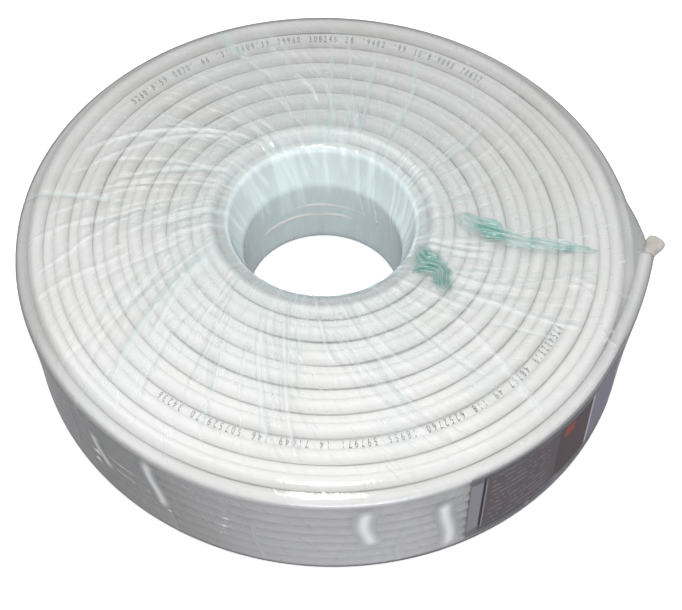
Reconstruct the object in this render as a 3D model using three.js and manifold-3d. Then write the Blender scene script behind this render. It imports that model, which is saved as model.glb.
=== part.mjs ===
// A coil of round white coaxial cable lying flat. It is wound in nested layers around an open bore and wrapped
// through that bore in clear stretch film. A printed card label sits under the film on the outer side.
// The cable's outer end leaves the film at the top edge and ends in a short free stub.
// Millimetres, Z up. The film's flat underside is at Z = 0 and the footprint is centred on the origin.

import * as THREE from 'three';
import { mergeVertices } from 'three/addons/utils/BufferGeometryUtils.js';
import Module from 'manifold-3d';

const wasm = await Module();
wasm.setup();

// Cable and winding
const cableDiameter = 6.9;
const cableRadius = cableDiameter / 2;
const layerPitch = 5.95;
const rowPitch = 7.1;
const layerCount = 18;
const fullRows = 9;
const missingInnerRows = 3;
const coilRadius = 148;
const boreDrift = [-3.5, 3.9];

// Each turn is drawn with eight sides. Its corners are odd multiples of this angle, in degrees.
const cornerAngle = 22.5;
const crestHalfWidth = cableRadius * Math.tan((cornerAngle * Math.PI) / 180);

// Film and label
const clearance = 0.3;
const filmThickness = 0.5;
const lift = filmThickness + clearance;
const cardThickness = 0.4;
const cardHeight = 50;
const cardBottom = 9.5;
const cardStart = -63.5;
const cardEnd = -23;

// Free end of the cable, leaving the top row of the outermost layer
const followAngle = -30;
const departAngle = -22.5;
const departHeading = 68;
const filmedRun = 50;
const stubTurn = 15;
const stubLength = 11;
const cutEndLength = 6;
const cutEndHalfWidth = 4.7;
const cutEndHalfHeight = 3.3;

// Gathered ends of the film, lying on the top: a rope across the turns and a knot at the bore. The paths
// are fractions of the coil's radius.
const ropeWidth = 9;
const ropeHeight = 3;
const ropePath = [[0.418, 0.041], [0.488, -0.013], [0.614, -0.063], [0.741, -0.076], [0.867, -0.089]];
const knotWidth = 15;
const knotHeight = 3.4;
const knotPath = [[0.292, -0.131], [0.326, -0.168], [0.357, -0.218], [0.387, -0.274]];

// How finely the round shapes are divided
const ringSegments = 32;
const tubeSegments = 12;

const degrees = Math.PI / 180;

function toSolid(geometry) {
  geometry.deleteAttribute('normal');
  geometry.deleteAttribute('uv');
  const merged = mergeVertices(geometry, 1e-4);
  return new wasm.Manifold(new wasm.Mesh({
    numProp: 3,
    vertProperties: Float32Array.from(merged.attributes.position.array),
    triVerts: Uint32Array.from(merged.index.array),
  }));
}

function toGeometry(solid) {
  const mesh = solid.getMesh();
  const geometry = new THREE.BufferGeometry();
  geometry.setAttribute('position', new THREE.BufferAttribute(Float32Array.from(mesh.vertProperties), 3));
  geometry.setIndex(new THREE.BufferAttribute(Uint32Array.from(mesh.triVerts), 1));
  geometry.computeVertexNormals();
  return geometry;
}

// The section runs anticlockwise in radius and height, and comes back to its first point. The winding drifts
// a little to one side as the layers build up, so the bore stands off the middle of the outer round.
function turned(section) {
  const closed = [...section, section[0].clone()];
  const ring = new THREE.LatheGeometry(closed, ringSegments).rotateX(Math.PI / 2);
  const place = ring.attributes.position;
  const depth = coilRadius - (layerRadius(layerCount - 1) - cableRadius);
  for (let i = 0; i < place.count; i += 1) {
    const radius = Math.hypot(place.getX(i), place.getY(i));
    const share = Math.min(Math.max((coilRadius - radius) / depth, 0), 1);
    place.setX(i, place.getX(i) + share * boreDrift[0]);
    place.setY(i, place.getY(i) + share * boreDrift[1]);
  }
  return ring;
}

function point(radius, height) {
  return new THREE.Vector2(radius, height);
}

// Layer 0 is the outermost. It and every second one have a row fewer and nest half a row higher. The
// innermost layer is missing its top rows, so the bore's upper edge slopes.
function rowsIn(layer) {
  if (layer === layerCount - 1) {
    return fullRows - missingInnerRows;
  }
  return layer % 2 === 0 ? fullRows - 1 : fullRows;
}

function layerRadius(layer) {
  return coilRadius - cableRadius - layer * layerPitch;
}

function rowHeight(layer, row) {
  const nesting = layer % 2 === 0 ? rowPitch / 2 : 0;
  return lift + cableRadius + nesting + row * rowPitch;
}

function topHeight(layer) {
  return rowHeight(layer, rowsIn(layer) - 1);
}

// One end face of the coil, as crests and the grooves between them, from the outermost layer to the innermost
function endFace(heightOf, upward) {
  const points = [];
  for (let layer = 0; layer < layerCount; layer += 1) {
    const crest = heightOf(layer) + upward * cableRadius;
    points.push(point(layerRadius(layer) + crestHalfWidth, crest));
    points.push(point(layerRadius(layer) - crestHalfWidth, crest));
    if (layer + 1 < layerCount) {
      const groove = (heightOf(layer) + heightOf(layer + 1)) / 2;
      points.push(point((layerRadius(layer) + layerRadius(layer + 1)) / 2, groove));
    }
  }
  return points;
}

// One side of the coil, as the rows of a single layer from the bottom up
function sideFace(layer, outward) {
  const points = [];
  for (let row = 0; row < rowsIn(layer); row += 1) {
    const height = rowHeight(layer, row);
    const crest = layerRadius(layer) + outward * cableRadius;
    points.push(point(crest, height - crestHalfWidth));
    points.push(point(crest, height + crestHalfWidth));
    if (row + 1 < rowsIn(layer)) {
      points.push(point(layerRadius(layer), height + rowPitch / 2));
    }
  }
  return points;
}

function coilSection() {
  const innermost = layerCount - 1;
  return [
    ...sideFace(0, 1),
    ...endFace(topHeight, 1),
    ...sideFace(innermost, -1).reverse(),
    ...endFace((layer) => rowHeight(layer, 0), -1).reverse(),
  ];
}

// Film stretched over the turns at the section's corners, at a given distance from their crests. Each corner
// is a turn's radius, its height and how many times the corner angle round that turn.
function filmSection(offset) {
  const reach = (cableRadius + offset) / Math.cos(cornerAngle * degrees);
  const outer = layerRadius(0);
  const next = layerRadius(1);
  const rim = layerCount - 3;
  const last = layerCount - 2;
  const inner = layerRadius(layerCount - 1);
  const innerTop = topHeight(layerCount - 1);
  const innerBottom = rowHeight(layerCount - 1, 0);
  const corners = [
    [next, rowHeight(1, 0), -3],
    [outer, rowHeight(0, 0), -3],
    [outer, rowHeight(0, 0), -1],
    [outer, topHeight(0), 1],
    [outer, topHeight(0), 3],
    [next, topHeight(1), 3],
    [layerRadius(rim), topHeight(rim), 5],
    [layerRadius(last), topHeight(last), 5],
    [layerRadius(last), topHeight(last), 7],
    [inner, innerTop, 7],
    [inner, innerBottom, 9],
    [inner, innerBottom, 11],
  ];
  return corners.map(([radius, height, times]) => point(
    radius + reach * Math.cos(times * cornerAngle * degrees),
    height + reach * Math.sin(times * cornerAngle * degrees),
  ));
}

// A point on the faceted ring whose corners lie on the given radius
function onRing(radius, angle) {
  const facet = 360 / ringSegments;
  const fromMiddle = (((angle % facet) + facet) % facet) - facet / 2;
  const distance = (radius * Math.cos((facet / 2) * degrees)) / Math.cos(fromMiddle * degrees);
  return new THREE.Vector2(distance * Math.cos(angle * degrees), distance * Math.sin(angle * degrees));
}

// An upright band following the ring's facets between two angles
function band(inner, outer, start, end, bottom, height) {
  const facet = 360 / ringSegments;
  const angles = [start];
  for (let angle = Math.ceil(start / facet + 1e-6) * facet; angle < end - 1e-6; angle += facet) {
    angles.push(angle);
  }
  angles.push(end);
  const outline = [
    ...angles.map((angle) => onRing(outer, angle)),
    ...angles.map((angle) => onRing(inner, angle)).reverse(),
  ];
  const settings = { depth: height, steps: 1, bevelEnabled: false };
  return new THREE.ExtrudeGeometry(new THREE.Shape(outline), settings).translate(0, 0, bottom);
}

function oval(halfWidth, halfHeight, count) {
  const outline = [];
  for (let i = 0; i < count; i += 1) {
    const angle = (2 * Math.PI * i) / count;
    outline.push(new THREE.Vector2(halfWidth * Math.cos(angle), halfHeight * Math.sin(angle)));
  }
  return new THREE.Shape(outline);
}

function swept(shape, path, steps) {
  const settings = { steps, extrudePath: path, bevelEnabled: false };
  return new THREE.ExtrudeGeometry(shape, settings);
}

// The free end follows its turn, leaves along a tangent and springs outwards where it clears the film.
function tailPoints() {
  const height = topHeight(0);
  const [start, leave] = [followAngle, departAngle].map((angle) => {
    const spot = onRing(layerRadius(0), angle);
    return new THREE.Vector3(spot.x, spot.y, height);
  });
  const heading = departHeading * degrees;
  const tangent = new THREE.Vector3(Math.cos(heading), Math.sin(heading), 0);
  const mouth = leave.clone().addScaledVector(tangent, filmedRun);
  const outwards = tangent.clone().applyAxisAngle(new THREE.Vector3(0, 0, 1), -stubTurn * degrees);
  const tip = mouth.clone().addScaledVector(outwards, stubLength);
  return { start, leave, mouth, outwards, tip };
}

const tail = tailPoints();

function tailCurve(last) {
  const following = tail.start.clone().lerp(tail.leave, 0.5);
  const along = [0.33, 0.66].map((part) => tail.leave.clone().lerp(tail.mouth, part));
  return new THREE.CatmullRomCurve3([tail.start, following, tail.leave, ...along, tail.mouth, ...last]);
}

// The cutters have pressed the very end flat and wide.
function cutEnd(extra) {
  const flat = new THREE.CylinderGeometry(1, 1, cutEndLength + 2 * extra, tubeSegments);
  flat.rotateZ(-Math.PI / 2).scale(1, cutEndHalfWidth + extra, cutEndHalfHeight + extra);
  flat.rotateZ(Math.atan2(tail.outwards.y, tail.outwards.x));
  const centre = tail.tip.clone().addScaledVector(tail.outwards, 0.5 - cutEndLength / 2);
  return toSolid(flat.translate(centre.x, centre.y, centre.z));
}

function cableCoil() {
  const ring = toSolid(turned(coilSection()));
  const round = oval(cableRadius, cableRadius, tubeSegments);
  const end = toSolid(swept(round, tailCurve([tail.tip]), 16));
  return toGeometry(ring.add(end).add(cutEnd(0)));
}

// A low mound of gathered film on the top, rounded at both ends
function gathered(path, width, height, steps) {
  const level = topHeight(1) + cableRadius + clearance + filmThickness;
  const spots = path.map(([x, y]) => new THREE.Vector3(x * coilRadius, y * coilRadius, level));
  const body = toSolid(swept(oval(height, width / 2, 10), new THREE.CatmullRomCurve3(spots), steps));
  const ends = [spots[0], spots[spots.length - 1]].map((spot) => {
    const ball = new THREE.SphereGeometry(1, 10, 6).rotateX(Math.PI / 2);
    ball.scale(width / 2 - 0.05, width / 2 - 0.05, height - 0.05);
    return toSolid(ball.translate(spot.x, spot.y, spot.z));
  });
  return ends.reduce((sum, end) => sum.add(end), body);
}

function stretchFilm() {
  const margin = clearance / (coilRadius * degrees);
  const wall = lift / (coilRadius * degrees);
  const cardOuter = coilRadius + clearance + cardThickness;
  const sleeve = cableRadius + lift;
  const passage = cableRadius + clearance;
  const beyond = tail.tip.clone().addScaledVector(tail.outwards, cutEndLength);
  let outside = toSolid(turned(filmSection(lift)));
  outside = outside.add(toSolid(swept(oval(sleeve, sleeve, tubeSegments), tailCurve([]), 12)));
  outside = outside.add(toSolid(band(
    coilRadius + clearance,
    cardOuter + lift,
    cardStart - wall,
    cardEnd + wall,
    cardBottom - lift,
    cardHeight + 2 * lift,
  )));
  outside = outside.add(gathered(ropePath, ropeWidth, ropeHeight, 12));
  outside = outside.add(gathered(knotPath, knotWidth, knotHeight, 6));
  let inside = toSolid(turned(filmSection(clearance)));
  inside = inside.add(toSolid(swept(oval(passage, passage, tubeSegments), tailCurve([tail.tip, beyond]), 20)));
  inside = inside.add(cutEnd(clearance));
  inside = inside.add(toSolid(band(
    coilRadius - clearance,
    cardOuter + clearance,
    cardStart - margin,
    cardEnd + margin,
    cardBottom - clearance,
    cardHeight + 2 * clearance,
  )));
  return toGeometry(outside.subtract(inside));
}

function labelCard() {
  const inner = coilRadius + clearance;
  const card = band(inner, inner + cardThickness, cardStart, cardEnd, cardBottom, cardHeight);
  return toGeometry(toSolid(card));
}

const finishes = {
  cable_coil: { color: 0xe6e4df, roughness: 0.45 },
  stretch_film: { color: 0xcfe6e2, roughness: 0.15, transparent: true, opacity: 0.3 },
  label_card: { color: 0xd9d4dc, roughness: 0.7 },
};

const pieces = {
  cable_coil: cableCoil(),
  stretch_film: stretchFilm(),
  label_card: labelCard(),
};

const coil = new THREE.Group();
for (const [name, geometry] of Object.entries(pieces)) {
  const mesh = new THREE.Mesh(geometry, new THREE.MeshStandardMaterial(finishes[name]));
  mesh.name = name;
  coil.add(mesh);
}

// The free end reaches past the round, so the footprint is centred last.
const middle = new THREE.Box3().setFromObject(coil).getCenter(new THREE.Vector3());
for (const mesh of coil.children) {
  mesh.geometry.translate(-middle.x, -middle.y, 0);
}

export default coil;
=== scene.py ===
# A coil of round coaxial cable, wound in nested layers and wrapped through its bore in clear stretch film.
# The dictionaries hold millimetres and degrees. Meshes are made in metres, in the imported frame.

import math
import random
from itertools import cycle

import bpy
import numpy as np
from mathutils import Matrix, Vector


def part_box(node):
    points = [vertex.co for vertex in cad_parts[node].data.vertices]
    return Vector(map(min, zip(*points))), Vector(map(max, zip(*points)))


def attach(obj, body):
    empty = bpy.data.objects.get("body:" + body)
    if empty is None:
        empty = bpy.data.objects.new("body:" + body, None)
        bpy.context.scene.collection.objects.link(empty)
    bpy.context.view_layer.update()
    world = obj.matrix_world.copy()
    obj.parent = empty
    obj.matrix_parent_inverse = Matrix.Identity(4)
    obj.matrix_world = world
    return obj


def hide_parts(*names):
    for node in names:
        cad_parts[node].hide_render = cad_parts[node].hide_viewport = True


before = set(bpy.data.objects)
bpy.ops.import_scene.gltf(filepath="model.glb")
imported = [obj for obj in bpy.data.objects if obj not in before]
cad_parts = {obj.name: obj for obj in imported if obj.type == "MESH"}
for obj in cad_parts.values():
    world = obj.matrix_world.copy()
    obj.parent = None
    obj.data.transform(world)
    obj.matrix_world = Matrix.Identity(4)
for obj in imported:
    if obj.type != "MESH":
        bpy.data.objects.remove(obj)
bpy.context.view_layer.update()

millimetre = 0.001
draw = random.Random(41)
phaseSpan = 6.28  # radians that random phases are drawn from


# Shader helpers: a Flow is a number or colour on its way through a node tree
class Flow:
    def __init__(self, nodes, socket):
        self.nodes = nodes
        self.socket = socket

    def worked(self, operation, *values):
        return self.nodes.add("ShaderNodeMath", {"operation": operation}, dict(enumerate(values)))

    def __add__(self, other):
        return self.worked("ADD", self, other)

    def __radd__(self, other):
        return self.worked("ADD", other, self)

    def __sub__(self, other):
        return self.worked("SUBTRACT", self, other)

    def __rsub__(self, other):
        return self.worked("SUBTRACT", other, self)

    def __mul__(self, other):
        return self.worked("MULTIPLY", self, other)

    def __rmul__(self, other):
        return self.worked("MULTIPLY", other, self)

    def __truediv__(self, other):
        return self.worked("DIVIDE", self, other)

    def __gt__(self, other):
        return self.worked("GREATER_THAN", self, other)

    def __lt__(self, other):
        return self.worked("LESS_THAN", self, other)

    def capped(self):
        return self.nodes.add("ShaderNodeClamp", {}, {"Value": self})


class Nodes:
    def __init__(self, tree, shader):
        self.tree = tree
        self.shader = tree.nodes[shader]

    def feed(self, socket, value):
        self.put(self.shader.inputs[socket], value)

    def put(self, socket, value):
        if isinstance(value, Flow):
            self.tree.links.new(value.socket, socket)
        else:
            socket.default_value = value

    def add(self, kind, settings, values, out=0):
        node = self.tree.nodes.new(kind)
        for name, value in settings.items():
            setattr(node, name, value)
        for name, value in values.items():
            self.put(node.inputs[name], value)
        return Flow(self, node.outputs[out])

    def parts(self, vector):
        split = self.add("ShaderNodeSeparateXYZ", {}, {0: vector}).socket.node
        return [Flow(self, socket) for socket in split.outputs]

    def blend(self, share, first, second):
        settings = {"data_type": "RGBA", "clamp_factor": True}
        return self.add("ShaderNodeMix", settings, {0: share, 6: first, 7: second}, out=2)

    def stored(self, name, out="Fac"):
        return self.add("ShaderNodeAttribute", {"attribute_name": name}, {}, out=out)

    def noise(self, place, scale, detail=3.0, roughness=0.55):
        values = {"Vector": place, "Scale": scale, "Detail": detail, "Roughness": roughness}
        return self.add("ShaderNodeTexNoise", {}, values)

    def stretched(self, place, factors):
        return self.add("ShaderNodeVectorMath", {"operation": "MULTIPLY"}, {0: place, 1: factors})

    def smooth(self, value, low, high):
        settings = {"interpolation_type": "SMOOTHSTEP"}
        return self.add("ShaderNodeMapRange", settings, {"Value": value, "From Min": low, "From Max": high})

    def objectPlace(self):
        return self.add("ShaderNodeTexCoord", {}, {}, out="Object")


class Finish(Nodes):
    def __init__(self, name, **fixed):
        self.material = bpy.data.materials.new(name)
        self.material.use_nodes = True
        super().__init__(self.material.node_tree, "Principled BSDF")
        for socket, value in fixed.items():
            self.feed(socket, value)

    def bump(self, height, strength, distance):
        values = {"Height": height, "Strength": strength, "Distance": distance * millimetre}
        relief = self.add("ShaderNodeBump", {}, values)
        self.feed("Normal", relief)
        return relief


def rgba(red, green, blue):
    return (red, green, blue, 1.0)


# Mesh helpers: points come in millimetres
def meshOf(name, points, faces):
    mesh = bpy.data.meshes.new(name)
    mesh.from_pydata((points.reshape(-1, 3) * millimetre).tolist(), [], faces)
    mesh.update()
    return mesh


def placesIn(mesh):
    places = np.zeros(len(mesh.vertices) * 3)
    mesh.vertices.foreach_get("co", places)
    return places.reshape(-1, 3)


def gridMesh(name, points, closedAlong=True, closedAcross=True, caps=False):
    rows, columns = points.shape[:2]
    i = np.arange(rows if closedAlong else rows - 1)[:, None]
    j = np.arange(columns if closedAcross else columns - 1)[None, :]
    nextRow = (i + 1) % rows
    nextColumn = (j + 1) % columns
    faces = np.stack([i * columns + j, nextRow * columns + j,
                      nextRow * columns + nextColumn, i * columns + nextColumn], -1)
    faces = faces.reshape(-1, 4).tolist()
    if caps:
        faces.append(list(range(columns))[::-1])
        faces.append(list(range((rows - 1) * columns, rows * columns)))
    return meshOf(name, points, faces)


def joined(name, meshes):
    vertices, faces, start = [], [], 0
    for mesh in meshes:
        vertices.append(placesIn(mesh))
        faces += [[start + v for v in face.vertices] for face in mesh.polygons]
        start += len(mesh.vertices)
        bpy.data.meshes.remove(mesh)
    whole = bpy.data.meshes.new(name)
    whole.from_pydata(np.concatenate(vertices).tolist(), [], faces)
    whole.update()
    return whole


def piece(name, mesh, finish, slot, *nodes):
    thing = bpy.data.objects.new(name, mesh)
    bpy.context.scene.collection.objects.link(thing)
    mesh.materials.append(finish.material)
    mesh.polygons.foreach_set("use_smooth", [True] * len(mesh.polygons))
    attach(thing, "root")
    if nodes:
        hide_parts(*nodes)
    return thing


# Numbers come as a grid like the mesh's points, vectors with one axis more
def store(mesh, name, values):
    kind, field = ("FLOAT_VECTOR", "vector") if values.ndim == 3 else ("FLOAT", "value")
    layer = mesh.attributes.new(name, kind, "POINT")
    layer.data.foreach_set(field, values.astype(np.float32).ravel())


# The winding. Layer 0 is the outermost. Odd layers have every row.
# Even ones have a row less and nest between them.
winding = {
    "cable": 6.9,
    "outerRadius": 148.0,
    "layers": 18,
    "fullRows": 9,
    "layerPitch": 5.958,
    "rowPitch": 7.112,
    "lift": 0.8,
    "drift": (-3.54, 3.88),  # how far the innermost layer stands off the outermost
    "lean": (2.85, -3.80),  # how far the bottom stands off the top
    "shortInner": 3,  # rows that the innermost layer lacks at the top
    "wander": 0.32,  # how far a turn strays from its true round
    "topDetail": (216, 18),  # steps round the coil and sides round the cable
    "bottomDetail": (160, 12),
    "boreDetail": (112, 14),
}
coreLow, coreHigh = (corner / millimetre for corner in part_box("cable_coil"))
axis = np.array([coreLow.x + winding["outerRadius"], (coreLow.y + coreHigh.y) / 2])
cableRadius = winding["cable"] / 2
coilHeight = winding["cable"] + (winding["fullRows"] - 1) * winding["rowPitch"]


def rowsIn(layer):
    if layer == winding["layers"] - 1:
        return winding["fullRows"] - winding["shortInner"]
    return winding["fullRows"] - (layer + 1) % 2


def layerRadius(layer):
    return winding["outerRadius"] - cableRadius - layer * winding["layerPitch"]


def rowHeight(layer, row):
    nested = 0 if layer % 2 else winding["rowPitch"] / 2
    return winding["lift"] + cableRadius + nested + row * winding["rowPitch"]


def turnCentre(radius, height):
    wound = layerRadius(0) - layerRadius(winding["layers"] - 1)
    inward = np.clip((layerRadius(0) - radius) / wound, 0, 1.05)
    below = 0.5 - (np.asarray(height) - winding["lift"]) / coilHeight
    x = axis[0] + inward * winding["drift"][0] + below * winding["lean"][0]
    y = axis[1] + inward * winding["drift"][1] + below * winding["lean"][1]
    return x, y


def onCoil(radius, angle, height):
    x, y = turnCentre(radius, height)
    return np.stack(np.broadcast_arrays(x + radius * np.cos(angle), y + radius * np.sin(angle), height), -1)


def wavy(angles, amount):
    total = np.zeros_like(angles)
    for lobes in (2, 3, 5, 8, 13):
        size = math.sqrt(1 / lobes) * draw.uniform(-1, 1)
        total += size * np.sin(lobes * angles + draw.uniform(0, phaseSpan))
    return amount * total


# A round tube along a path, with its sides square to the path
def tube(name, path, sides, closed=True, radii=None):
    ahead = np.roll(path, -1, 0) - np.roll(path, 1, 0)
    if not closed:
        ahead[0] = path[1] - path[0]
        ahead[-1] = path[-1] - path[-2]
    ahead /= np.linalg.norm(ahead, axis=1)[:, None]
    side = np.cross(ahead, (0, 0, 1))
    side /= np.linalg.norm(side, axis=1)[:, None]
    over = np.cross(side, ahead)
    turn = np.linspace(0, 2 * math.pi, sides, endpoint=False)
    wide, tall = (cableRadius, cableRadius) if radii is None else (radii[:, :1], radii[:, 1:])
    ring = (side[:, None] * (np.cos(turn) * np.broadcast_to(wide, (len(path), 1)))[..., None]
            + over[:, None] * (np.sin(turn) * np.broadcast_to(tall, (len(path), 1)))[..., None])
    return gridMesh(name, path[:, None] + ring, closed, True, caps=not closed)


def turnOf(layer, row, steps, sides):
    angles = np.linspace(0, 2 * math.pi, steps, endpoint=False)
    printed = row == rowsIn(layer) - 1 and layer in [run[0] for run in marks["runs"]]
    wander = 0 if printed else winding["wander"]
    radius = layerRadius(layer) + wavy(angles, wander)
    height = rowHeight(layer, row) + wavy(angles, wander * 0.5)
    if row == rowsIn(layer) - 1:
        height -= winding["wander"]
    return tube("turn", onCoil(radius, angles, height), sides)


# The free end leaves the outermost layer's top row, bending less than the turns do
freeEnd = {
    "climb": (-8.0, 16.0),  # where each turn of the outermost layer steps up a row
    "departs": -35.0,
    "filmedRun": 82.0,
    "bendRadius": 228.0,
    "stubTurn": 20.0,
    "stubLength": 5.0,
    "cutLength": 6.5,
    "rise": 1.6,
    "riseRun": 14.0,  # length of stub over which it climbs as much again
    "pathSteps": 26,
    "climbSteps": 14,
    "turnSteps": 192,
    "easeSteps": 12,  # last steps of the round, which are led over to the free end
}


def tailPath():
    start = math.radians(freeEnd["departs"])
    height = rowHeight(0, rowsIn(0) - 1)
    x, y = turnCentre(layerRadius(0), height)
    middle = np.array([x, y])
    spot = middle + layerRadius(0) * np.array([math.cos(start), math.sin(start)])
    stride = freeEnd["filmedRun"] / freeEnd["pathSteps"]
    heading = start + math.pi / 2
    path = [spot]
    for _ in range(freeEnd["pathSteps"]):
        heading += stride / freeEnd["bendRadius"]
        path.append(path[-1] + stride * np.array([math.cos(heading), math.sin(heading)]))
    path = np.array(path)
    level = height + freeEnd["rise"] * 0.5 * np.linspace(0, 1, len(path)) ** 2
    out = heading - math.radians(freeEnd["stubTurn"])
    ahead = np.array([math.cos(out), math.sin(out), freeEnd["rise"] / freeEnd["riseRun"]])
    return middle, np.column_stack([path, level]), ahead / np.linalg.norm(ahead)


tailMiddle, tail, tailOut = tailPath()


def eased(share):
    return share * share * (3 - 2 * share)


# One run of cable from the floor up, stepping up a row in each turn
def outermostLayer():
    low, high = (math.radians(a) for a in freeEnd["climb"])
    rows = rowsIn(0)
    climb = np.linspace(0, 1, freeEnd["climbSteps"], endpoint=False)
    path = []
    for row in range(rows):
        last = row == rows - 1
        end = math.radians(freeEnd["departs"]) + 2 * math.pi if last else low + 2 * math.pi
        for angle in np.linspace(high, end, freeEnd["turnSteps"], endpoint=last):
            path.append((layerRadius(0), angle, rowHeight(0, row)))
        if not last:
            for share in climb:
                angle = low + share * (high - low) + 2 * math.pi
                path.append((layerRadius(0), angle, rowHeight(0, row) + eased(share) * winding["rowPitch"]))
    lead = []
    for share in climb:
        radius = layerRadius(1) + eased(share) * winding["layerPitch"]
        height = rowHeight(1, 0) + eased(share) * winding["rowPitch"] / 2
        lead.append((radius, low + share * (high - low), height))
    radius, angle, height = np.array(lead + path).T
    radius = radius + wavy(angle, winding["wander"] * 0.6)
    points = onCoil(radius, angle, height)
    led = np.linspace(0, 1, freeEnd["easeSteps"])[:, None] ** 2
    points[-freeEnd["easeSteps"]:] += led * (tail[0] - points[-1])
    return np.concatenate([points, tail[1:]])


# The bare stub, pressed flat and wide where it was cut
def bareEnd():
    shares = np.array([-0.1, 0.1, 0.3, 0.45, 0.56, 0.68, 0.80, 0.90, 0.96, 1.0])
    wide = np.array([0.99, 1.0, 1.02, 1.12, 1.24, 1.33, 1.36, 1.32, 1.22, 1.02]) * cableRadius
    tall = np.array([0.99, 1.0, 1.0, 0.99, 0.97, 0.96, 0.95, 0.92, 0.84, 0.68]) * cableRadius
    reach = freeEnd["stubLength"] + freeEnd["cutLength"]
    path = tail[-1] + (shares * reach)[:, None] * tailOut
    return tube("bare_end", path, 32, closed=False, radii=np.stack([wide, tall], 1))


def jacketFinish():
    finish = Finish("cableJacket", IOR=1.46)
    place = finish.objectPlace()
    broad = finish.noise(place, 14.0, 2.0)
    fine = finish.noise(place, 420.0, 4.0, 0.7)
    tone = finish.smooth(broad, 0.35, 0.65)
    shade = finish.blend(tone, rgba(0.80, 0.79, 0.765), rgba(0.84, 0.835, 0.82))
    scuffs = finish.smooth(fine, 0.62, 0.78) * 0.35
    finish.feed("Base Color", finish.blend(scuffs, shade, rgba(0.70, 0.70, 0.68)))
    finish.feed("Roughness", 0.42 + 0.16 * fine)
    finish.bump(fine, 0.25, 0.12)
    return finish


def bareFinish():
    finish = Finish("bareJacket", IOR=1.46)
    place = finish.objectPlace()
    smudge = finish.noise(place, 150.0, 3.0)
    fine = finish.noise(place, 520.0, 4.0, 0.7)
    tone = finish.blend(finish.smooth(smudge, 0.35, 0.7), rgba(0.50, 0.475, 0.44), rgba(0.41, 0.385, 0.35))
    finish.feed("Base Color", tone)
    finish.feed("Roughness", 0.5 + 0.2 * fine)
    finish.bump(fine + smudge, 0.3, 0.2)
    return finish


# The print along two of the top turns: plain numbers in groups, read clockwise with their tops outward.
# Their flat faces would cut into the round jacket, so they stand a little clear of it.
marks = {
    "height": 3.6,
    "pitch": 2.75,
    "digits": "0123456789",
    "digitShare": 0.7,  # height of a digit as a share of the letter size
    "narrowing": 0.62,
    "standOff": 0.07,
    "groupGap": 1.3,  # in digits
    "seed": 7,
    "runs": [  # layer, first angle, last angle, roll around the cable in radians
        (3, 145.0, 51.0, -0.45),
        (4, 333.0, 236.0, 0.1),
    ],
    "groups": [9, 5, 2, 3, 7, 5, 6, 2, 5, 3],
}


def digitShapes():
    shapes = {}
    for digit in marks["digits"]:
        text = bpy.data.curves.new("digit", "FONT")
        text.body = digit
        text.size = 1.0
        text.resolution_u = 3
        holder = bpy.data.objects.new("digit", text)
        made = bpy.data.meshes.new_from_object(holder)
        flat = placesIn(made)[:, :2]
        middle = (flat[:, 0].min() + flat[:, 0].max()) / 2
        outline = [list(face.vertices) for face in made.polygons]
        shapes[digit] = (flat - (middle, marks["digitShare"] / 2), outline)
        bpy.data.objects.remove(holder)
        bpy.data.curves.remove(text)
        bpy.data.meshes.remove(made)
    return shapes


def digitAngles(first, last, stride):
    angle = first
    for count in cycle(marks["groups"]):
        for _ in range(count):
            if angle <= last:
                return
            yield angle
            angle -= stride
        angle -= stride * marks["groupGap"]


def inkFinish():
    finish = Finish("greyInk", Roughness=0.6)
    worn = finish.noise(finish.objectPlace(), 900.0, 2.0)
    tone = finish.blend(finish.smooth(worn, 0.4, 0.62), rgba(0.035, 0.035, 0.04), rgba(0.16, 0.16, 0.16))
    finish.feed("Base Color", tone)
    return finish


def buildMarks():
    shapes = digitShapes()
    size = marks["height"] / marks["digitShare"]
    off = cableRadius + marks["standOff"]
    points, faces, start = [], [], 0
    figures = random.Random(marks["seed"])
    for layer, first, last, roll in marks["runs"]:
        radius = layerRadius(layer)
        height = rowHeight(layer, rowsIn(layer) - 1)
        for angle in digitAngles(first, last, math.degrees(marks["pitch"] / radius)):
            flat, outline = shapes[figures.choice(marks["digits"])]
            around = math.radians(angle) - size * marks["narrowing"] * flat[:, 0] / radius
            over = size * flat[:, 1] / cableRadius + roll
            points.append(onCoil(radius + off * np.sin(over), around, height + off * np.cos(over)))
            faces += [[start + v for v in face] for face in outline]
            start += len(flat)
    mesh = meshOf("length_marks", np.concatenate(points), faces)
    piece("length_marks", mesh, inkFinish(), "cable_jacket")
    print("length marks printed")


def buildCable():
    finish = jacketFinish()
    inner = winding["layers"] - 1
    tops = [turnOf(layer, rowsIn(layer) - 1, *winding["topDetail"]) for layer in range(1, inner + 1)]
    piece("top_turns", joined("top_turns", tops), finish, "cable_jacket", "cable_coil")
    hidden = [turnOf(layer, 0, *winding["bottomDetail"]) for layer in range(1, inner + 1)]
    for layer, lowest in ((inner, 1), (inner - 1, 3)):
        hidden += [turnOf(layer, row, *winding["boreDetail"]) for row in range(lowest, rowsIn(layer) - 1)]
    hiddenTurns = joined("hidden_side_turns", hidden)
    piece("hidden_side_turns", hiddenTurns, finish, "cable_jacket", "cable_coil")
    outer = tube("outer_turns", outermostLayer(), winding["topDetail"][1], closed=False)
    piece("outer_turns", outer, finish, "cable_jacket", "cable_coil")
    piece("bare_end", bareEnd(), bareFinish(), "cable_jacket", "cable_coil")
    core = gridMesh("winding_core", corePoints())
    piece("winding_core", core, finish, "cable_jacket", "cable_coil")
    print("cable: turns and free end in place")


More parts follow.
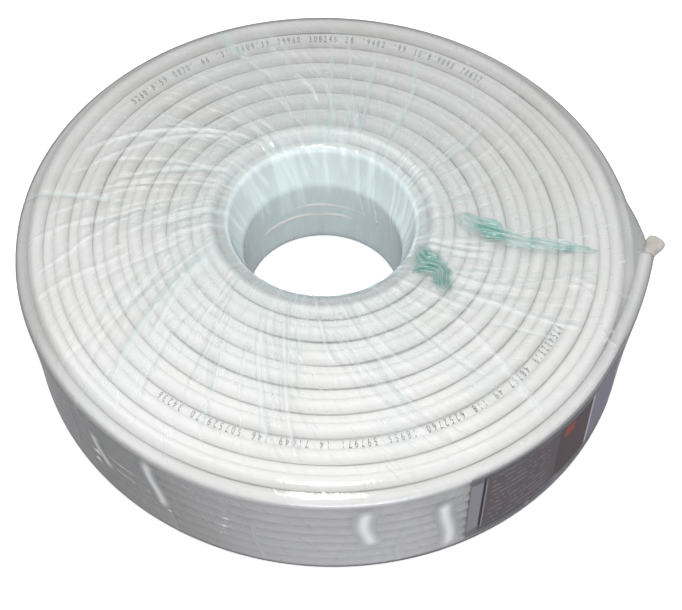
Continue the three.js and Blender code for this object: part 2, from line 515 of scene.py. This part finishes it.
# A plain core closes the inside behind the turns
def corePoints():
    inset = 2.2
    inner = winding["layers"] - 1
    low = rowHeight(1, 0) + inset
    high = rowHeight(1, winding["fullRows"] - 2) + cableRadius
    outside = layerRadius(1)
    inside = layerRadius(inner)
    shelf = rowHeight(1, rowsIn(inner) - 1)
    section = [(outside, low), (outside, high), (layerRadius(inner - 1), high - cableRadius),
               (inside + cableRadius, shelf), (inside, shelf - cableRadius), (inside, low)]
    angles = np.linspace(0, 2 * math.pi, 96, endpoint=False)
    return np.stack([onCoil(radius, angles, np.full_like(angles, height)) for radius, height in section], 1)


# The stretch film: a taut skin round each section of the coil, with creases, and a tent over the free end
film = {
    "gap": 0.6,
    "sag": 0.5,
    "upperSteps": 900,
    "upperPoints": 104,
    "lowerSteps": 450,
    "lowerPoints": 60,
    "outerSeam": 9.0,  # height of the seam between the upper and lower stretch, outside and in the bore
    "boreSeam": 24.0,
    "outerSide": 140.0,  # radius beyond which the section is on the outer side
    "boreSide": 50.0,  # radius within which it is in the bore
    "touching": 2.5,  # a shorter stretch of the section lies on a turn and doesn't sag
    "sagRun": 9.0,  # length over which the sag comes in
    "settling": 13.0,  # angle over which it comes back to the coil beyond the free end
    "overCard": 0.2,
    "tilt": 26.0,  # how far a crease slants over 100 mm of radius
    "haze": 0.03,
    "hazePerWrap": 0.085,
    "tintPerWrap": 0.24,
    "clearTone": (0.88, 0.89, 0.88),
    "greenTone": (0.52, 0.72, 0.69),
    "creaseGlintTone": (0.97, 0.98, 0.98),
    "boreTone": (0.84, 0.93, 0.94),
    # the next two tones are painted shade and reflection on the film's outer side: lavender-grey, and
    # darker at that side's two ends
    "sideShadeReflectionTone": (0.66, 0.66, 0.72),
    "darkReflectionShadeTone": (0.26, 0.27, 0.24),
    "reflectivity": 1.6,
    "fineCreases": 150,
    "sideCreases": 60,
    "boreCreases": 50,
}


def hull(points):
    points = points[np.lexsort((points[:, 1], points[:, 0]))]

    def half(sequence):
        chain = []
        for p in sequence:
            while len(chain) > 1:
                a, b = chain[-2], chain[-1]
                if (b[0] - a[0]) * (p[1] - a[1]) - (b[1] - a[1]) * (p[0] - a[0]) > 0:
                    break
                chain.pop()
            chain.append(p)
        return chain[:-1]

    rows = points.tolist()
    return np.array(half(rows) + half(rows[::-1]))


def circlePoints(radius, height, reach):
    turn = np.linspace(0, 2 * math.pi, 28, endpoint=False)  # enough sides for a smooth hull
    return np.stack([radius + reach * np.cos(turn), height + reach * np.sin(turn)], 1)


def filmSupport():
    reach = cableRadius + film["gap"]
    spots = []
    for layer in range(winding["layers"]):
        for row in {0, rowsIn(layer) - 1}:
            spots.append(circlePoints(layerRadius(layer), rowHeight(layer, row), reach))
    return np.concatenate(spots)


# Follows the hull from one end of a stretch to the other, with sags between its contacts
def sectionLine(support, stretch):
    line = hull(support)
    line = np.concatenate([line, line, line[:1]])
    length = np.hypot(*np.diff(line, axis=0).T)
    travel = np.concatenate([[0], np.cumsum(length)])
    wholeRound = travel[-1] / 2
    outerSeam = seamTravel(line, travel, film["outerSeam"], outer=True)
    boreSeam = seamTravel(line, travel, film["boreSeam"], outer=False)
    if stretch == "upper":
        first, last = outerSeam, boreSeam
    else:
        first, last = boreSeam, outerSeam
    if last < first:
        last += wholeRound
    count = film["upperPoints"] if stretch == "upper" else film["lowerPoints"]
    spots = np.linspace(first, last, count)
    place = np.stack([np.interp(spots, travel, line[:, k]) for k in (0, 1)], 1)
    ahead = np.gradient(place, axis=0)
    ahead /= np.linalg.norm(ahead, axis=1)[:, None]
    outward = np.stack([ahead[:, 1], -ahead[:, 0]], 1)
    segment = np.clip(np.searchsorted(travel, spots, "right") - 1, 0, len(length) - 1)
    within = (spots - travel[segment]) / length[segment]
    bare = np.clip((length[segment] - film["touching"]) / film["sagRun"], 0, 1)
    bow = 4 * within * (1 - within)
    place -= outward * (film["sag"] * bare * bow)[:, None]
    return place, outward


def seamTravel(line, travel, height, outer):
    for k in range(len(line) - 1):
        low, high = line[k, 1], line[k + 1, 1]
        onSide = line[k, 0] > film["outerSide"] if outer else line[k, 0] < film["boreSide"]
        rises = high > low if outer else high < low
        if onSide and rises and min(low, high) <= height <= max(low, high):
            return travel[k] + (height - low) / (high - low) * (travel[k + 1] - travel[k])
    raise ValueError("no seam on the film")


# Creases run from one spot to another; a spot is an angle and a place. The place is the radius on the top,
# goes on past the outer radius down the side, and goes on below the rim's radius down the bore.
rimRadius = 47.0
creases = [
    # from angle, place, to angle, place, width, height, white, green. White is a painted glint along the
    # fold, partly the folded film's own haze
    (166, 132, 129, 60, 1.3, 0.55, 1.0, 0.0),
    (170, 126, 134, 64, 1.0, 0.45, 0.8, 0.0),
    (177, 158, 178, 93, 1.0, -0.35, 0.0, 0.75),
    (206, 51, 229, 135, 2.6, 0.3, 0.0, 0.5),
    (210, 59, 226, 108, 2.0, 0.3, 0.3, 0.3),
    (249, 65, 263, 136, 1.6, 0.35, 0.35, 0.3),
    (257, 62, 268, 135, 1.4, 0.35, 0.4, 0.3),
    (263, 66, 267, 102, 1.2, -0.3, 0.0, 0.5),
    (270, 59, 276, 87, 1.2, 0.5, 0.5, 0.2),
    (118, 146, 114, 112, 3.2, -0.3, 0.0, 0.7),
    (102, 100, 94, 75, 1.0, 0.5, 0.8, 0.2),
    (92, 124, 88, 44, 1.4, -0.3, 0.0, 0.7),
    (88, 132, 79, 45, 1.0, -0.3, 0.1, 0.6),
    (80, 119, 73, 47, 1.0, -0.3, 0.0, 0.9),
    (70, 126, 58, 57, 1.0, -0.3, 0.0, 0.9),
    (87, 87, 70, 48, 2.8, 0.3, 0.0, 0.5),
    (99, 86, 95, 44, 3.0, 0.3, 0.0, 0.3),
    (40, 104, 31, 62, 0.9, -0.3, 0.0, 0.8),
    (345, 118, 345, 130, 1.1, 0.6, 1.0, 0.0),
    (344, 117, 342, 131, 0.9, 0.6, 1.0, 0.0),
    (332, 140, 340, 145, 1.0, 0.6, 0.7, 0.3),
    (335, 137, 334, 151, 1.0, 0.6, 0.7, 0.3),
    (319, 70, 313, 151, 1.4, 0.4, 0.3, 0.3),
    (344, 50, 9, 113, 1.2, 0.4, 0.4, 0.3),
    (356, 61, 8, 143, 1.4, 0.4, 0.4, 0.2),
    (326, 70, 335, 137, 1.4, 0.4, 0.4, 0.2),
    # four tall painted highlights on the outer side, where the film's facets catch the lamp
    (228, 164, 231, 188, 2.6, 0.7, 1.0, 0.0),
    (241, 152, 243, 191, 3.2, 0.7, 1.0, 0.0),
    (278, 156, 279, 190, 3.8, 0.6, 1.0, 0.0),
    (292, 160, 293, 206, 3.8, 0.6, 1.0, 0.0),
]


# random creases; their white share is a painted glint too, partly the folded film's own haze
def fineCreases():
    found = []
    for _ in range(film["fineCreases"]):
        start = draw.uniform(0, 360)
        outer = draw.uniform(70, 148)
        inner = max(outer - draw.uniform(20, 80), 30)
        slant = film["tilt"] * draw.uniform(0.4, 1.3) * (outer - inner) / 100
        green = draw.random() < 0.5
        strength = draw.uniform(0.1, 0.45)
        height = draw.uniform(0.08, 0.28) * draw.choice((-1, 1))
        found.append((start, outer, start - slant, inner, draw.uniform(0.7, 1.4), height,
                      0 if green else strength, strength if green else 0))
    for _ in range(film["sideCreases"]):
        start = draw.uniform(0, 360)
        low = draw.uniform(148, 190)
        strength = draw.uniform(0.05, 0.35)
        found.append((start, low, start + draw.uniform(-3, 3), low + draw.uniform(10, 50),
                      draw.uniform(0.8, 2.0), draw.uniform(-0.35, 0.35), strength, 0))
    for _ in range(film["boreCreases"]):
        start = draw.uniform(0, 360)
        strength = draw.uniform(0.1, 0.4)
        found.append((start, 60, start - draw.uniform(4, 18), draw.uniform(-10, 30),
                      draw.uniform(0.7, 1.5), draw.uniform(-0.3, 0.3), strength, strength))
    return found


def creaseField(angle, place):
    height = np.zeros_like(angle)
    white = np.zeros_like(angle)
    green = np.zeros_like(angle)
    radius = np.clip(place, 40, winding["outerRadius"])
    for fromAngle, fromPlace, toAngle, toPlace, wide, tall, pale, tint in creases + fineCreases():
        run = toPlace - fromPlace
        share = (place - fromPlace) / run if abs(run) > 1 else np.full_like(place, 0.5)
        wobble = 0.4 * np.sin(share * 7 + fromAngle)
        middle = np.radians(fromAngle + (toAngle - fromAngle) * share + wobble)
        away = (angle - middle + math.pi) % (2 * math.pi) - math.pi
        offset = away * radius
        fade = np.clip(np.minimum(share, 1 - share) * 6, 0, 1)
        mark = np.exp(-(offset / wide) ** 2) * fade
        height += tall * mark
        white = np.maximum(white, pale * mark)
        green = np.maximum(green, tint * mark)
    return height, white, green


def placeOf(radius, height):
    top = winding["lift"] + coilHeight
    side = np.clip(top - height, 0, None)
    place = np.where(radius > winding["outerRadius"] - 2, winding["outerRadius"] + side, radius)
    return np.where(radius < rimRadius, radius - side, place)


def cardZone(angle):
    turn = math.degrees(angle)
    return label["start"] <= turn <= label["end"]


# The film stands off the coil over the free end, and comes back to it beyond the mouth
def tentCircle(angle, reach):
    turns = np.unwrap(np.arctan2(tail[:, 1] - tailMiddle[1], tail[:, 0] - tailMiddle[0]))
    reaches = np.hypot(tail[:, 0] - tailMiddle[0], tail[:, 1] - tailMiddle[1])
    if turns[0] < angle <= turns[-1]:
        return circlePoints(np.interp(angle, turns, reaches), np.interp(angle, turns, tail[:, 2]), reach)
    beyond = (angle - turns[-1]) / math.radians(film["settling"])
    if 0 < beyond < 1:
        out = reaches[-1] + (layerRadius(0) - reaches[-1]) * beyond - 0.5
        return circlePoints(out, tail[-1, 2], reach * (0.8 + 0.2 * beyond))
    return None


def filmStretch(stretch, steps):
    angles = np.linspace(-math.pi, math.pi, steps, endpoint=False)
    plain = filmSupport()
    whole = sectionLine(plain, stretch)
    reach = cableRadius + film["gap"]
    rows = []
    for angle in angles:
        extra = []
        if cardZone(angle):
            out = winding["outerRadius"] + label["gap"] + label["thickness"] + film["overCard"]
            extra.append(np.array([[out, label["low"]], [out, label["high"]]]))
        tent = tentCircle(angle, reach)
        if tent is not None:
            extra.append(tent)
        rows.append(sectionLine(np.concatenate([plain] + extra), stretch) if extra else whole)
    place = np.stack([row[0] for row in rows])
    outward = np.stack([row[1] for row in rows])
    radius, high = place[..., 0], place[..., 1]
    slant = np.clip(winding["outerRadius"] - radius, 0, None) / 100
    around = angles[:, None] - math.radians(film["tilt"]) * slant
    return around, radius, high, outward


def buildFilm():
    finish = filmFinish()
    for stretch in ("upper", "lower"):
        around, radius, high, outward = filmStretch(stretch, film[stretch + "Steps"])
        along = placeOf(radius, high)
        lift, white, green = creaseField(around, along)
        if stretch == "lower":
            lift = np.zeros_like(lift)  # its coarser grid can't carry the creases' height
        radius = radius + outward[..., 0] * lift
        high = high + outward[..., 1] * lift
        mesh = gridMesh("film", onCoil(radius, around, high), closedAcross=False)
        store(mesh, "white", white)
        store(mesh, "green", green)
        store(mesh, "wraps", winding["outerRadius"] / np.clip(radius, 38, 150))
        store(mesh, "place", along)
        slant = np.clip(winding["outerRadius"] - along, -80, 110) / 100
        slanted = around + math.radians(film["tilt"]) * slant
        store(mesh, "streaks", np.stack([np.cos(slanted), np.sin(slanted), along / 400], -1))
        piece("wrapped_film_" + stretch, mesh, finish, "clear_film", "stretch_film")
    print("film: skin wrapped, with its creases")


def filmFinish():
    finish = Finish("stretchFilm", IOR=1.5)
    streaks = finish.stored("streaks", "Vector")
    place = finish.stored("place")
    wraps = finish.stored("wraps")
    white = finish.stored("white")
    green = finish.stored("green")
    east, north, _ = finish.parts(streaks)
    angle = east.worked("ARCTAN2", north, east) / (2 * math.pi)
    fine = finish.noise(streaks, 46.0, 3.0, 0.6)
    broad = finish.noise(streaks, 9.0, 2.0)

    # each pass of the film ends along a crisp slanted edge, and passes lie on each other in patches
    def passes(count, slant, seed):
        turns = (angle + place * slant) * count + fine * 0.22
        turns = turns.worked("FLOOR", turns)
        turns = turns.worked("WRAP", turns, count, 0.0)
        return finish.add("ShaderNodeTexWhiteNoise", {"noise_dimensions": "1D"}, {"W": turns + seed})

    layered = passes(34, 0.00035, 0.37) + passes(23, -0.0004, 7.71) + passes(51, 0.0011, 3.13)
    lines = finish.smooth(fine, 0.60, 0.70) * finish.smooth(broad, 0.42, 0.62)
    streaky = finish.smooth(finish.noise(streaks, 61.0, 2.0), 0.60, 0.68)
    dark = streaky * finish.smooth(broad, 0.6, 0.4)
    tint = (wraps - 1.0) * film["tintPerWrap"] + dark * 0.25 + green * 0.8 + (layered - 1.5) * 0.10
    colour = finish.blend(tint.capped(), rgba(*film["clearTone"]), rgba(*film["greenTone"]))
    # the crease marks and fine lines are whitened here: a painted glint, partly the folded film's own haze
    colour = finish.blend((white + lines * 0.5).capped(), colour, rgba(*film["creaseGlintTone"]))

    # the film is hazy and pale in the bore. On the outer side its colour holds a painted shade and
    # reflection, lavender-grey, and a darker painted reflection and shade at that side's two ends
    bore = finish.smooth(place, 50.0, 40.0)
    side = finish.smooth(place, 149.0, 156.0)
    leftDarkReflection = finish.smooth(angle, -0.318, -0.338) * finish.smooth(angle, -0.42, -0.40)
    rightDarkReflection = finish.smooth(angle, -0.225, -0.205) * finish.smooth(angle, -0.165, -0.178)
    sideShadeReflection = finish.blend((leftDarkReflection + rightDarkReflection) * 0.8, rgba(*film["sideShadeReflectionTone"]), rgba(*film["darkReflectionShadeTone"]))
    colour = finish.blend(side * (1.0 - white) * 0.9, colour, sideShadeReflection)
    colour = finish.blend(bore * 0.8, colour, rgba(*film["boreTone"]))
    finish.feed("Base Color", colour)
    cover = film["haze"] + film["hazePerWrap"] * wraps + 0.055 * layered
    cover = cover + 0.14 * lines + 0.10 * dark + 0.20 * white + 0.30 * green
    cover = cover + side * (0.12 * broad + 0.6 * white - 0.14) + bore * (0.40 + 0.1 * broad)
    finish.feed("Alpha", cover.capped())
    finish.feed("Roughness", 0.16 + 0.16 * broad)
    relief = finish.bump(fine + 0.6 * broad, 0.30, 0.5)
    shine = {"Roughness": 0.09 + side * 0.2, "Color": rgba(0.95, 0.95, 0.97), "Normal": relief}
    gloss = finish.add("ShaderNodeBsdfGlossy", {}, shine)
    edge = finish.add("ShaderNodeFresnel", {}, {"IOR": film["reflectivity"], "Normal": relief})
    body = Flow(finish, finish.shader.outputs[0])
    mixed = finish.add("ShaderNodeMixShader", {}, {0: edge, 1: body, 2: gloss})
    finish.put(finish.tree.nodes["Material Output"].inputs["Surface"], mixed)
    return finish


# The film's gathered ends, lying on the top: a twisted rope across the turns and a knot by the bore
gathers = {
    # spots from the top's own middle
    "rope": [(61.8, 6.1), (66.5, 1.8), (72.2, -1.9), (81.5, -6.2), (90.8, -9.3),
             (109.6, -11.2), (128.3, -13.1)],
    "ropeHalfWidth": [4.0, 6.4, 6.8, 5.6, 5.4, 4.0, 1.6],
    "knot": [(40.7, -16.9), (44.5, -21.4), (48.2, -24.9), (52.8, -32.2), (58.3, -41.5)],
    "knotHalfWidth": [3.0, 8.0, 8.6, 6.5, 2.0],
    "rise": 3.0,
    "hover": 0.15,
    "steps": 90,
    "across": 40,
    "rounding": 13,  # steps that the path's corners are rounded over, an odd number
}


def gathered(name, spots, halfWidths, folds, seed):
    wander = random.Random(seed)
    spots = np.array(spots) + axis - np.array(winding["lean"]) / 2
    steps, across = gathers["steps"], gathers["across"]
    travel = np.concatenate([[0], np.cumsum(np.hypot(*np.diff(spots, axis=0).T))])
    share = np.linspace(0, travel[-1], steps)
    x = np.interp(share, travel, spots[:, 0])
    y = np.interp(share, travel, spots[:, 1])
    kernel = np.hanning(gathers["rounding"])
    kernel /= kernel.sum()
    margin = gathers["rounding"] // 2
    padded = [np.pad(line, margin, "reflect", reflect_type="odd") for line in (x, y)]
    x, y = (np.convolve(line, kernel, "valid") for line in padded)
    half = np.interp(share, travel, halfWidths)
    ahead = np.stack([np.gradient(x), np.gradient(y)], 1)
    ahead /= np.linalg.norm(ahead, axis=1)[:, None]
    side = np.stack([-ahead[:, 1], ahead[:, 0]], 1)
    top = rowHeight(1, rowsIn(1) - 1) + cableRadius + film["gap"]
    spread = np.linspace(-1, 1, across)
    phases = [wander.uniform(0, phaseSpan) for _ in range(4)]
    grid = np.zeros((steps, across, 3))
    for i in range(steps):
        t = share[i] / travel[-1]
        edge = half[i] * (1 + 0.16 * math.sin(t * 14 + phases[0]) + 0.07 * math.sin(t * 37 + phases[1]))
        shift = 0.18 * half[i] * math.sin(t * 11 + phases[2])
        fold = np.sin(spread * folds + phases[3] + 2.2 * math.sin(t * 9)) ** 2
        crown = np.sqrt(np.clip(1 - spread**2, 0, 1))
        rise = gathers["rise"] * min(half[i] / 5, 1)
        height = top + gathers["hover"] + rise * crown * (0.35 + 0.65 * fold)
        grid[i, :, 0] = x[i] + side[i, 0] * (spread * edge + shift)
        grid[i, :, 1] = y[i] + side[i, 1] * (spread * edge + shift)
        grid[i, :, 2] = height
    mesh = gridMesh(name, grid, closedAlong=False, closedAcross=False)
    ends = np.clip(np.minimum(share, travel[-1] - share) / 6, 0, 1)
    # "body" fades the film out at its edges and ends
    store(mesh, "body", np.clip((1 - np.abs(spread)[None, :]) * 2.2, 0, 1) * ends[:, None])
    piece(name, mesh, gatheredFinish(), "clear_film", "stretch_film")


def gatheredFinish():
    finish = Finish("gatheredFilm", IOR=1.9)
    place = finish.objectPlace()
    crumple = finish.noise(place, 190.0, 3.0, 0.6)
    patches = finish.noise(place, 95.0, 2.0)
    finish.feed("Base Color", finish.blend(finish.smooth(patches, 0.4, 0.62),
                                           rgba(0.15, 0.35, 0.30), rgba(0.48, 0.63, 0.59)))
    solid = finish.stored("body")
    finish.feed("Alpha", ((0.50 + 0.40 * finish.smooth(patches, 0.60, 0.38)) * solid).capped())
    finish.feed("Roughness", 0.10 + 0.15 * crumple)
    finish.bump(crumple, 0.9, 1.2)
    return finish


# The card label, under the film on the outer side. Its panels and rules are generic.
label = {
    "start": -63.7,
    "end": -23.0,
    "low": 10.0,
    "high": 60.0,
    "gap": 0.25,
    "thickness": 0.4,
    "steps": 80,
    "rows": 24,
    "pushRun": 12.0,  # height over which the free end pushes it out
    "rules": 13.0,  # rows of generic rules on its panel
}


def buildLabel():
    angles = np.radians(np.linspace(label["start"], label["end"], label["steps"]))
    heights = np.linspace(label["low"], label["high"], label["rows"])
    inner = winding["outerRadius"] + label["gap"]
    layers = []
    turns = np.arctan2(tail[:, 1] - tailMiddle[1], tail[:, 0] - tailMiddle[0])
    reaches = np.hypot(tail[:, 0] - tailMiddle[0], tail[:, 1] - tailMiddle[1]) + cableRadius
    pushed = np.interp(angles, turns, reaches, left=0, right=reaches[-1]) + 0.1
    for radius in (inner, inner + label["thickness"]):
        rows = []
        for z in heights:
            push = np.clip((z - tail[0, 2] + 14) / label["pushRun"], 0, 1)
            out = radius + push * np.clip(pushed - inner, 0, None)
            rows.append(onCoil(out, angles, np.full_like(angles, z)))
        layers.append(np.stack(rows, 1))
    outerFace = gridMesh("face", layers[1], False, False)
    backFace = gridMesh("back", layers[0], False, False)
    backFace.flip_normals()
    rims = []
    for rim in ((slice(None), 0), (slice(None), -1), 0, -1):
        rims.append(gridMesh("rim", np.stack([layers[0][rim], layers[1][rim]], 1), False, False))
    mesh = joined("card", [outerFace, backFace] + rims)
    flat = mesh.uv_layers.new(name="print")
    place = placesIn(mesh) / millimetre
    turn = np.degrees(np.arctan2(place[:, 1] - axis[1], place[:, 0] - axis[0]))
    u = (turn - label["start"]) / (label["end"] - label["start"])
    v = (place[:, 2] - label["low"]) / (label["high"] - label["low"])
    corner = np.zeros(len(mesh.loops), dtype=np.int32)
    mesh.loops.foreach_get("vertex_index", corner)
    flat.data.foreach_set("uv", np.stack([u, v], 1)[corner].ravel())
    piece("printed_label", mesh, labelFinish(), "printed_card", "label_card")
    print("label: card laid under the film")


def labelFinish():
    finish = Finish("printedCard", IOR=1.45)
    spot = finish.add("ShaderNodeUVMap", {"uv_map": "print"}, {})
    u, v, _ = finish.parts(spot)
    mottled = finish.noise(finish.objectPlace(), 60.0, 3.0)

    def block(left, right, low, high):
        return (u > left) * (u < right) * (v > low) * (v < high)

    colour = finish.blend(mottled * 0.5, rgba(0.24, 0.23, 0.25), rgba(0.30, 0.29, 0.31))
    inside = block(0.055, 0.985, 0.06, 0.955)
    line = inside * (1 - block(0.068, 0.978, 0.085, 0.93))
    panel = block(0.075, 0.47, 0.1, 0.92)
    colour = finish.blend(panel, colour, rgba(0.115, 0.095, 0.105))
    rows = v.worked("FRACT", v * label["rules"])
    dashes = finish.stretched(spot, (70.0, label["rules"], 1.0))
    dashes = finish.add("ShaderNodeVectorMath", {"operation": "FLOOR"}, {0: dashes})
    bars = finish.add("ShaderNodeTexWhiteNoise", {"noise_dimensions": "2D"}, {"Vector": dashes})
    rule = panel * (rows > 0.38) * (rows < 0.70) * (bars > 0.42) * (u < 0.42) * (u > 0.10)
    colour = finish.blend(rule * 0.4, colour, rgba(0.30, 0.29, 0.31))
    colour = finish.blend(block(0.47, 0.70, 0.1, 0.92), colour, rgba(0.085, 0.055, 0.06))
    colour = finish.blend(block(0.50, 0.57, 0.72, 0.86), colour, rgba(0.30, 0.06, 0.05))
    # a wavy light line and the lavender-grey beyond it are a painted reflection on the card
    wave = 0.70 + 0.012 * finish.noise(finish.objectPlace(), 50.0, 1.0)
    colour = finish.blend((u > wave) * (u < wave + 0.012) * inside, colour, rgba(0.62, 0.60, 0.62))
    pale = (u > wave + 0.012) * (u < 0.975) * (v > 0.1) * (v < 0.92)
    colour = finish.blend(pale, colour, rgba(0.24, 0.22, 0.29))
    colour = finish.blend(line, colour, rgba(0.03, 0.02, 0.04))
    finish.feed("Base Color", colour)
    finish.feed("Roughness", 0.35 + 0.1 * mottled)
    finish.bump(mottled, 0.15, 0.2)
    return finish


# Plain floor, camera at the photo's view, soft lights
studio = {
    "target": (-0.62, -25.65, 32.8),
    "distance": 578.7,
    "elevation": 54.53,
    "roll": 2.67,
    "lens": 62.82,
    "sensor": 36.0,
    "lamps": [  # name, place and size in metres, power, colour
        ("cameraLamp", (0.02, -0.37, 0.62), (0.16, 0.12), 1.6, (1.0, 1.0, 1.0)),
        ("overhead", (-0.2, 0.25, 1.5), (1.2, 1.2), 5.2, (1.0, 1.0, 1.0)),
        ("floorGlow", (0.15, -0.9, 0.12), (0.5, 0.06), 1.5, (0.9, 0.92, 1.0)),
    ],
    "aim": (0.0, 0.0, 0.03),
    "above": (0.75, 0.76, 0.77),
    "below": (0.30, 0.30, 0.31),
    "horizon": (-0.16, 0.24),  # the sky blends from below to above between these
    "floorGlow": 0.5,
    "floorReach": 4.0,
}


def buildCamera():
    rise = math.radians(studio["elevation"])
    roll = math.radians(studio["roll"])
    target = Vector(studio["target"])
    back = Vector((0, -math.cos(rise), math.sin(rise)))
    right = Vector((1, 0, 0))
    up = back.cross(right)
    turnedRight = right * math.cos(roll) + up * math.sin(roll)
    turnedUp = up * math.cos(roll) - right * math.sin(roll)
    spot = (target + back * studio["distance"]) * millimetre
    pose = Matrix((turnedRight, turnedUp, back)).transposed().to_4x4()
    pose.translation = spot
    camera = bpy.data.cameras.new("camera")
    camera.lens = studio["lens"]
    camera.sensor_width = studio["sensor"]
    camera.sensor_fit = "HORIZONTAL"
    camera.clip_start = 0.01
    viewer = bpy.data.objects.new("camera", camera)
    bpy.context.scene.collection.objects.link(viewer)
    viewer.matrix_world = pose
    bpy.context.scene.camera = viewer


def softLight(name, spot, size, power, colour):
    lamp = bpy.data.lights.new(name, "AREA")
    lamp.shape = "RECTANGLE"
    lamp.size, lamp.size_y = size
    lamp.energy = power
    lamp.color = colour
    holder = bpy.data.objects.new(name, lamp)
    bpy.context.scene.collection.objects.link(holder)
    holder.location = spot
    holder.rotation_euler = (Vector(studio["aim"]) - Vector(spot)).to_track_quat("-Z", "Y").to_euler()


def buildSky():
    world = bpy.data.worlds.new("studio")
    world.use_nodes = True
    bpy.context.scene.world = world
    sky = Nodes(world.node_tree, "Background")
    height = sky.parts(sky.add("ShaderNodeTexCoord", {}, {}, out="Generated"))[2]
    low, high = studio["horizon"]
    share = sky.add("ShaderNodeMapRange", {}, {"Value": height, "From Min": low, "From Max": high})
    sky.feed("Color", sky.blend(share, rgba(*studio["below"]), rgba(*studio["above"])))
    sky.feed("Strength", 1.0)


def buildStudio():
    buildCamera()
    for lamp in studio["lamps"]:
        softLight(*lamp)
    buildSky()
    floorFinish = Finish("paleFloor", Roughness=0.9)
    grain = floorFinish.noise(floorFinish.objectPlace(), 30.0)
    tone = floorFinish.blend(grain, rgba(0.90, 0.90, 0.90), rgba(0.93, 0.93, 0.93))
    floorFinish.feed("Base Color", tone)
    floorFinish.feed("Emission Color", tone)
    floorFinish.feed("Emission Strength", studio["floorGlow"])
    mesh = bpy.data.meshes.new("floor")
    reach = studio["floorReach"]
    mesh.from_pydata([(-reach, -reach, 0), (reach, -reach, 0), (reach, reach, 0), (-reach, reach, 0)],
                     [], [(0, 1, 2, 3)])
    mesh.materials.append(floorFinish.material)
    floor = bpy.data.objects.new("floor", mesh)
    bpy.context.scene.collection.objects.link(floor)
    floor.visible_diffuse = False  # keeps the coil's side in the soft shade that the photo shows
    floor.visible_glossy = False
    bpy.context.scene.view_settings.view_transform = "Standard"
    print("studio: camera, lights and floor set")


buildStudio()
buildCable()
buildMarks()
buildLabel()
buildFilm()
gathered("gathered_rope", gathers["rope"], gathers["ropeHalfWidth"], 6.0, 5)
gathered("gathered_knot", gathers["knot"], gathers["knotHalfWidth"], 8.0, 9)
print("gathered film ends in place")
